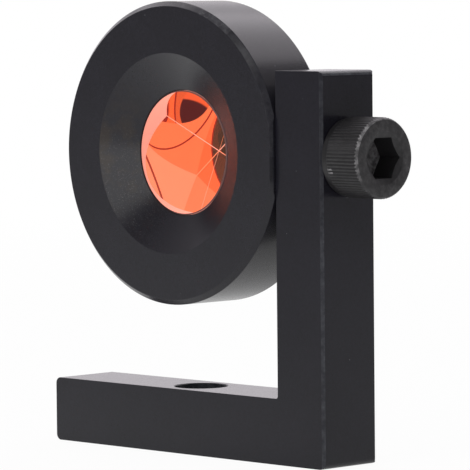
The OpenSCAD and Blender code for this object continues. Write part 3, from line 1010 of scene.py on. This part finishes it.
class PRISM_OT_rear_cap(bpy.types.Operator):
    """Builds the rear cap with its two spanner holes"""

    bl_idname = "prism.rear_cap"
    bl_label = "Rear cap"

    def execute(self, context):
        housing = context.scene.prism_housing
        settings = context.scene.prism_cap
        outer = (CAP_HIGH.x - CAP_LOW.x) / 2
        start = CAP_LOW.y - FRONT_Y
        end = CAP_HIGH.y - FRONT_Y
        neck_end = HOUSING_HIGH.y - FRONT_Y + settings.bore_gap
        soft = housing.edge_softness
        section = rounded([
            (settings.groove_radius, start, 0.0),
            (outer, start, soft),
            (outer, end - settings.wall_bevel, soft),
            (outer - settings.wall_bevel, end, soft),
            (0.0, end, 0.0),
            (0.0, end - settings.end_thickness, 0.0),
            (housing.pocket_radius, end - settings.end_thickness, 0.0),
            (housing.pocket_radius, neck_end, 0.0),
            (settings.bore_radius, neck_end, 0.0),
            (settings.bore_radius, start + settings.groove_depth, 0.0),
            (settings.groove_radius, start + settings.groove_depth, 0.0),
        ])
        bm = bmesh.new()
        lathe(bm, section, prism_place, CAP_SEGMENTS)
        black = anodised("cap_black_anodised", housing)
        piece = new_piece("rear_cap_turned", bm, "prism", [black], ["rear_cap"])
        radius = settings.hole_radius
        bevel = settings.hole_bevel
        bottom = end - settings.end_thickness / 2
        hole = [(0.0, bottom), (radius, bottom), (radius, end - bevel), (radius + 2 * bevel, end + bevel),
                (0.0, end + bevel)]
        for side in (-1, 1):
            cutter = bmesh.new()
            lathe(cutter, hole, prism_place, SPANNER_HOLE_SEGMENTS)
            bmesh.ops.translate(cutter, verts=cutter.verts, vec=(side * settings.hole_spacing / 2, 0, 0))
            cut(piece, cutter)
        shade_smooth(piece)
        mark(piece.data, "wear", self.wear, settings)
        return {"FINISHED"}

    def wear(self, face, settings):
        return settings.wear if slants(face.normal.y) else 0.0


class PRISM_OT_rings(bpy.types.Operator):
    """Gives the bond, the cushion ring, the retaining ring and the seal their finishes"""

    bl_idname = "prism.rings"
    bl_label = "Rings and seals"

    def execute(self, context):
        soft = rubber("black_rubber")
        for name in ("bond_ring", "cushion_ring", "cap_seal"):
            self.finish(name, soft, "seal_rubber")
        self.finish("retaining_ring", turned_metal("turned_aluminium"), "ring_metal")
        return {"FINISHED"}

    def finish(self, name, made, slot):
        """Gives a CAD node its material; the slot argument is not used."""
        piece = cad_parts[name]
        piece.data.materials.clear()
        piece.data.materials.append(made)


class PRISM_OT_clamp_screw(bpy.types.Operator):
    """Builds the knurled socket head screw"""

    bl_idname = "prism.clamp_screw"
    bl_label = "Clamp screw"

    def execute(self, context):
        settings = context.scene.prism_screw
        height = settings.head_height
        ridge = HEAD_RADIUS
        root = ridge - settings.knurl_depth
        band = root - settings.band_step
        soft = settings.foot_bevel
        tip = settings.shank_bevel
        count = settings.knurl_count * RIDGE_SEGMENTS
        end_radius = ridge - settings.head_bevel
        taper = settings.head_bevel / settings.bevel_length
        rim = settings.countersink_radius
        shank_end = SCREW_LOW.x - LEG_OUTER_X

        def knurled(turn):
            """Ridge with a slightly flattened crest."""
            phase = turn * settings.knurl_count / (2 * math.pi) % 1.0
            rise = abs(phase - 0.5) * 2
            return root + (ridge - root) * min(1.0, rise * CREST_WIDTH)

        def hexagon(turn):
            return settings.socket_width / 2 / math.cos(turn % (math.pi / 3) - math.pi / 6)

        def plain(radius, at):
            return lambda turn: (radius, at)

        def on_knurl(at):
            def point(turn):
                radius = min(knurled(turn), band + max(0.0, at - settings.smooth_band))
                radius = min(radius, end_radius + max(0.0, height - at) * taper)
                return (radius, at)
            return point

        def countersink(turn):
            return (hexagon(turn), height - (rim - hexagon(turn)) * math.tan(COUNTERSINK_ANGLE))

        def socket_floor(turn):
            return (hexagon(turn), height - settings.socket_depth)

        drill = settings.drill_radius
        floor = height - settings.socket_depth
        stations = [plain(0.0, shank_end), plain(settings.shank_radius - tip, shank_end),
                    plain(settings.shank_radius, shank_end + tip), plain(settings.shank_radius, 0.0),
                    plain(band - soft, 0.0), plain(band, soft)]
        stations += [on_knurl(settings.smooth_band + step) for step in KNURL_FOOT]
        stations += [on_knurl(height * share_along) for share_along in KNURL_ALONG]
        stations += [on_knurl(height - step) for step in KNURL_END]
        stations += [plain(end_radius - 0.00004, height - 0.00002), plain(end_radius - 0.00012, height),
                     plain(rim + 0.0001, height), plain(rim, height - 0.00002)]
        stations += [countersink, socket_floor, plain(drill, floor), plain(0.0, floor - drill / 3)]
        bm = bmesh.new()
        rings = []
        for station in stations:
            if station(0.0)[0] < MERGE_DISTANCE:
                middle = bm.verts.new(screw_place(0.0, 0.0, station(0.0)[1]))
                rings.append([middle] * count)
                continue
            ring = []
            for i in range(count):
                turn = 2 * math.pi * i / count
                radius, at = station(turn)
                ring.append(bm.verts.new(screw_place(radius, turn, at)))
            rings.append(ring)
        skin(bm, rings, closed=False)
        black = oxide("screw_black_oxide", settings)
        piece = new_piece("clamp_screw_knurled", bm, "screw", [black], ["clamp_screw"])
        shade_smooth(piece)
        mark(piece.data, "wear", self.wear, settings)
        return {"FINISHED"}

    def wear(self, face, settings):
        """The end's bevel is lightest on the front side of its top, worn there and with a painted highlight,
        and the socket's floor is bare.
        """
        rise = face.center.z - AXIS_Z
        radius = math.hypot(face.center.y, rise)
        turn = math.degrees(math.atan2(rise, face.center.y)) % 360
        height = face.center.x - LEG_OUTER_X
        outward = face.normal.x
        rim = settings.countersink_radius
        if height > settings.head_height - 0.0007 and radius > HEAD_RADIUS - 0.0009 and outward > 0.2:
            # Painted highlight: the bevel's upper front side gets the worn colour, up to full strength
            return settings.face_wear + (1.0 - settings.face_wear) * fading(turn, HEAD_HIGHLIGHT_TURN, 2)
        if radius < rim - 0.0005 and 0.001 < height < 0.0045 and outward > 0.5:
            return settings.floor_wear
        if radius < rim + 0.0001 and 0.3 < outward < 0.95:
            return settings.light_wear
        if radius > rim and outward > 0.95:
            return settings.face_wear
        if radius > HEAD_RADIUS - 0.00008:
            knocked = KNURL_KNOCK_FROM < turn < KNURL_KNOCK_TO and height < KNURL_KNOCK_HEIGHT
            return settings.knock_wear if knocked else settings.light_wear
        return 0.0


class PRISM_OT_stage(bpy.types.Operator):
    """Sets up the floor, the light and the camera"""

    bl_idname = "prism.stage"
    bl_label = "Stage"

    def execute(self, context):
        settings = context.scene.prism_stage
        self.camera(context, settings)
        self.floor(settings)
        self.world(context, settings)
        self.lamps(settings)
        context.scene.view_settings.view_transform = "Standard"
        return {"FINISHED"}

    def camera(self, context, settings):
        """Camera at the photograph's viewing angle."""
        azimuth, roll = settings.azimuth, settings.roll
        back = direction(azimuth, settings.elevation)
        right = Vector((math.cos(azimuth), math.sin(azimuth), 0.0))
        up = back.cross(right)
        turned_right = math.cos(roll) * right + math.sin(roll) * up
        turned_up = math.cos(roll) * up - math.sin(roll) * right
        data = bpy.data.cameras.new("camera")
        data.sensor_width = settings.sensor
        data.lens = settings.lens
        camera = bpy.data.objects.new("camera", data)
        axes = Matrix((turned_right, turned_up, back)).transposed().to_4x4()
        camera.matrix_world = Matrix.Translation(Vector(settings.aim) + back * settings.distance) @ axes
        context.scene.collection.objects.link(camera)
        context.scene.camera = camera

    def floor(self, settings):
        """Pale floor that the camera sees white, but for the object's shadow."""
        made, tree, shader, place = new_material("stage_paper")
        paper = settings.paper
        fibre = noise(tree, place, 30.0, 3.0)
        wire(tree, shader, {
            "Base Color": mixed(tree, ranged(tree, fibre, 0.3, 0.7), scaled(paper, 0.985), paper),
            "Roughness": 0.9,
        })
        away = vector_node(tree, "DISTANCE", place, settings.patch)
        lit = ranged(tree, away, settings.near, settings.far, settings.near_level, settings.far_level)
        patch = ranged(tree, away, settings.patch_inner, settings.patch_outer, settings.patch_level, 0.0)
        direct = node(tree, "ShaderNodeLightPath").outputs["Is Camera Ray"]
        strength = math_node(tree, "MAXIMUM", direct, math_node(tree, "ADD", lit, patch))
        glow = node(tree, "ShaderNodeEmission", {"Color": (*paper, 1.0), "Strength": strength})
        shaded = ranged(tree, away, settings.shadow_near, settings.shadow_far, settings.shadow, 0.0)
        unshaded = math_node(tree, "SUBTRACT", 1.0, shaded)
        self.blend(tree, math_node(tree, "MULTIPLY", self.seen(tree), unshaded), shader, glow,
                   "Material Output")
        bm = bmesh.new()
        bmesh.ops.create_grid(bm, x_segments=8, y_segments=8, size=FLOOR_REACH)
        mesh = bpy.data.meshes.new("stage_floor")
        bm.to_mesh(mesh)
        bm.free()
        mesh.materials.append(made)
        floor = bpy.data.objects.new("stage_floor", mesh)
        floor.location = (0.0, 0.0, -FLOOR_GAP)
        bpy.context.scene.collection.objects.link(floor)

    def blend(self, tree, share_second, first, second, output):
        """Sends a blend of two shaders to an output."""
        sockets = {0: share_second, 1: first.outputs[0], 2: second.outputs[0]}
        both = node(tree, "ShaderNodeMixShader", sockets)
        tree.links.new(both.outputs[0], tree.nodes[output].inputs["Surface"])

    def seen(self, tree):
        """1 for rays that show the backdrop: from the camera, a gloss or a glass."""
        path = node(tree, "ShaderNodeLightPath")
        direct = math_node(tree, "MAXIMUM", path.outputs["Is Camera Ray"], path.outputs["Is Glossy Ray"])
        return math_node(tree, "MAXIMUM", direct, path.outputs["Is Transmission Ray"])

    def backdrop(self, tree, settings):
        """White sweep behind the object, ever dimmer towards the camera's side."""
        generated = node(tree, "ShaderNodeTexCoord").outputs["Generated"]
        middle = direction(settings.sweep_azimuth, settings.sweep_elevation)
        facing = vector_node(tree, "DOT_PRODUCT", generated, middle)
        ramp = node(tree, "ShaderNodeValToRGB", {"Fac": ranged(tree, facing, -1.0, 1.0)})
        stops = ramp.color_ramp.elements
        for _ in range(len(SWEEP_LEVELS) - len(stops)):
            stops.new(0.5)
        for stop, (place, level) in zip(stops, SWEEP_LEVELS):
            stop.position = place
            stop.color = (*(c * t * level for c, t in zip(settings.paper, settings.tint)), 1.0)
        return ramp.outputs["Color"]

    def world(self, context, settings):
        """White to the camera, the sweep in glosses and in the glass, and an even fill light."""
        world = bpy.data.worlds.new("stage_world")
        context.scene.world = world
        world.use_nodes = True
        tree = world.node_tree
        backdrop = tree.nodes["Background"]
        direct = node(tree, "ShaderNodeLightPath").outputs["Is Camera Ray"]
        colour_seen = mixed(tree, direct, self.backdrop(tree, settings), settings.paper)
        wire(tree, backdrop, {"Color": colour_seen, "Strength": 1.0})
        light = node(tree, "ShaderNodeBackground", {"Color": (*WHITE, 1.0), "Strength": settings.fill})
        self.blend(tree, self.seen(tree), light, backdrop, "World Output")

    def lamps(self, settings):
        """A tall soft lamp to the left of the camera and a broad one above and behind."""
        self.lamp("front_lamp", settings.lamp_azimuth, settings.lamp_elevation, settings.lamp_distance,
                  (settings.lamp_width, settings.lamp_height), settings.lamp_power, settings.paper)
        self.lamp("top_lamp", settings.top_azimuth, settings.top_elevation, settings.top_distance,
                  (settings.top_width, settings.top_depth), settings.top_power, settings.tint)

    def lamp(self, name, across, up, distance, size, power, tint):
        data = bpy.data.lights.new(name, "AREA")
        data.shape = "RECTANGLE"
        data.size, data.size_y = size
        data.energy = power
        data.color = tint
        lamp = bpy.data.objects.new(name, data)
        toward = direction(across, up)
        lamp.location = Vector((0.0, 0.0, AXIS_Z)) + toward * distance
        lamp.rotation_euler = toward.to_track_quat("Z", "Y").to_euler()
        lamp.visible_camera = False
        bpy.context.scene.collection.objects.link(lamp)


class PRISM_PT_panel(bpy.types.Panel):
    """Lists the settings and the pieces"""

    bl_idname = "PRISM_PT_panel"
    bl_label = "Surveying prism"
    bl_space_type = "VIEW_3D"
    bl_region_type = "UI"
    bl_category = "Prism"

    def draw(self, context):
        for operator in PIECES:
            self.layout.operator(operator.bl_idname, text=operator.bl_label)
        for name, group in SETTINGS:
            box = self.layout.box()
            for key in group.__annotations__:
                box.prop(getattr(context.scene, name), key)


SETTINGS = [
    ("prism_bar", BarSettings),
    ("prism_housing", HousingSettings),
    ("prism_optics", OpticsSettings),
    ("prism_cap", CapSettings),
    ("prism_screw", ScrewSettings),
    ("prism_stage", StageSettings),
]
PIECES = [PRISM_OT_l_bar, PRISM_OT_housing, PRISM_OT_optics, PRISM_OT_rear_cap, PRISM_OT_rings,
          PRISM_OT_clamp_screw, PRISM_OT_stage]


def register():
    for _, group in SETTINGS:
        bpy.utils.register_class(group)
    for made in (*PIECES, PRISM_PT_panel):
        bpy.utils.register_class(made)
    for name, group in SETTINGS:
        setattr(bpy.types.Scene, name, PointerProperty(type=group))


def unregister():
    for name, _ in SETTINGS:
        delattr(bpy.types.Scene, name)
    for made in (PRISM_PT_panel, *reversed(PIECES)):
        bpy.utils.unregister_class(made)
    for _, group in reversed(SETTINGS):
        bpy.utils.unregister_class(group)


def main():
    register()
    bpy.ops.prism.l_bar()
    bpy.ops.prism.housing()
    bpy.ops.prism.optics()
    bpy.ops.prism.rear_cap()
    bpy.ops.prism.rings()
    bpy.ops.prism.clamp_screw()
    bpy.ops.prism.stage()


if __name__ == "__main__":
    main()
